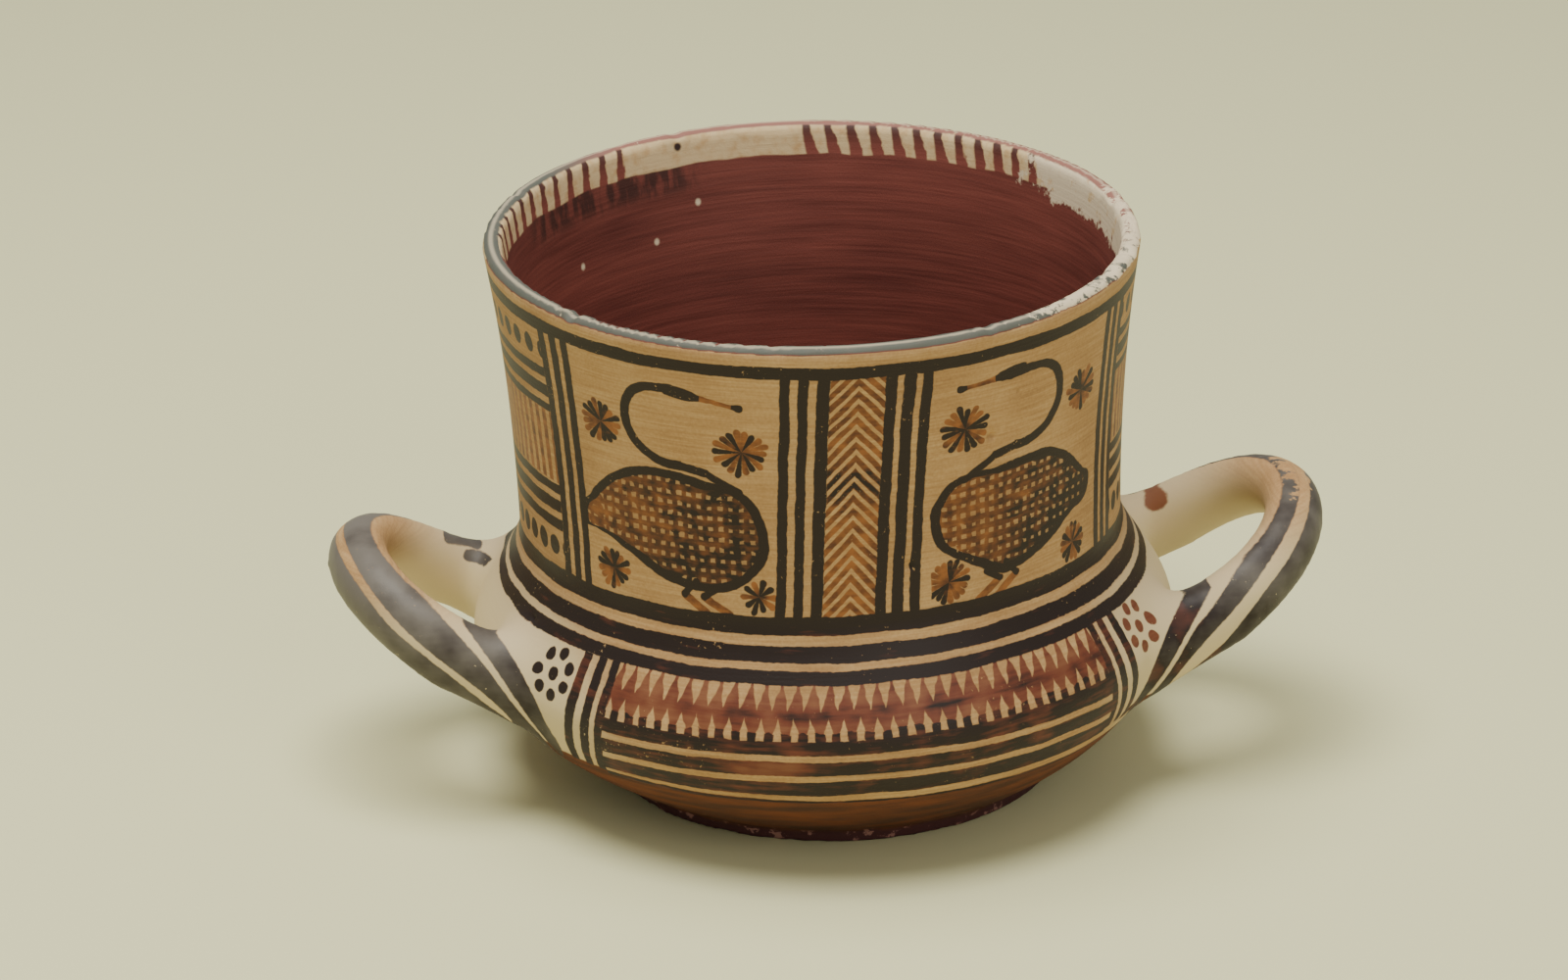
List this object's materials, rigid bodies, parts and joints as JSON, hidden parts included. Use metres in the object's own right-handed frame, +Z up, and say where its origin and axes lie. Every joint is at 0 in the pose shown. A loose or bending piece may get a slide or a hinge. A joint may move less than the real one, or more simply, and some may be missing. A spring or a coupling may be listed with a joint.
{
  "type": "two-handled cup",
  "caption": "Wheel-thrown clay cup with a wide flared neck over a low round belly, a flat foot and upswept loop handles, painted in dark bands with birds.",
  "frame": {"origin": "middle of the flat underside of the foot", "axes": "+Z up, the handles along X, the front with the birds towards -Y"},
  "size_m": [0.1936, 0.1358, 0.109],
  "materials": {
    "painted_clay": "buff fired clay under dark brown and red-brown slip, satin, worn at the lip"
  },
  "bodies": {
    "root": {"cup": "painted_clay"}
  },
  "joints": []
}
